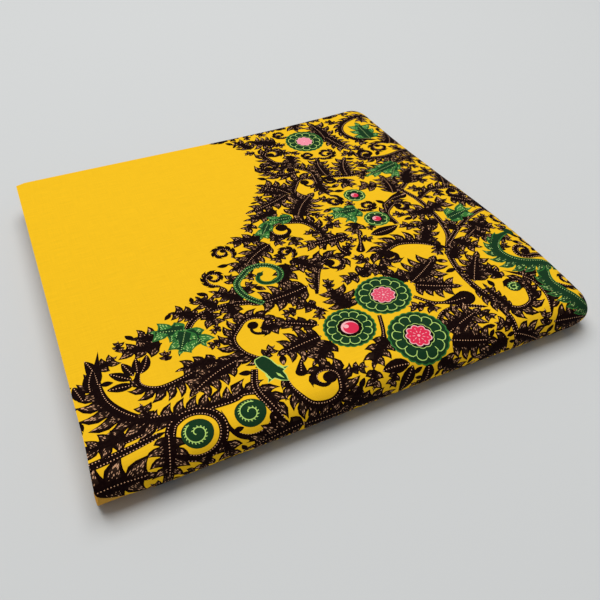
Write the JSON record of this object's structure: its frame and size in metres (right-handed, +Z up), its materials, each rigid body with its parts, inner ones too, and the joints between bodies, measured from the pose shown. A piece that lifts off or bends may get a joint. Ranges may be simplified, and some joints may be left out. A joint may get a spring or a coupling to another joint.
{
  "type": "folded length of wax print cotton fabric",
  "caption": "Folded length of printed cotton: nested layers with a fat rounded front fold, crisp left edges and soft rounded right edges, lying flat",
  "frame": {"origin": "under the middle of the stack's bounding box, on the surface that it lies on", "axes": "+X along the front fold to the right as seen from the front, +Y from the front fold to the back edges, +Z up"},
  "size_m": [0.4002, 0.3659, 0.034],
  "materials": {
    "printed_cotton": "matt",
    "plain_cotton": "matt",
    "cotton_edges": "matt"
  },
  "bodies": {
    "root": {"outer_leaf": "printed_cotton", "second_leaf": "plain_cotton", "inner_layers": "cotton_edges"}
  },
  "joints": []
}
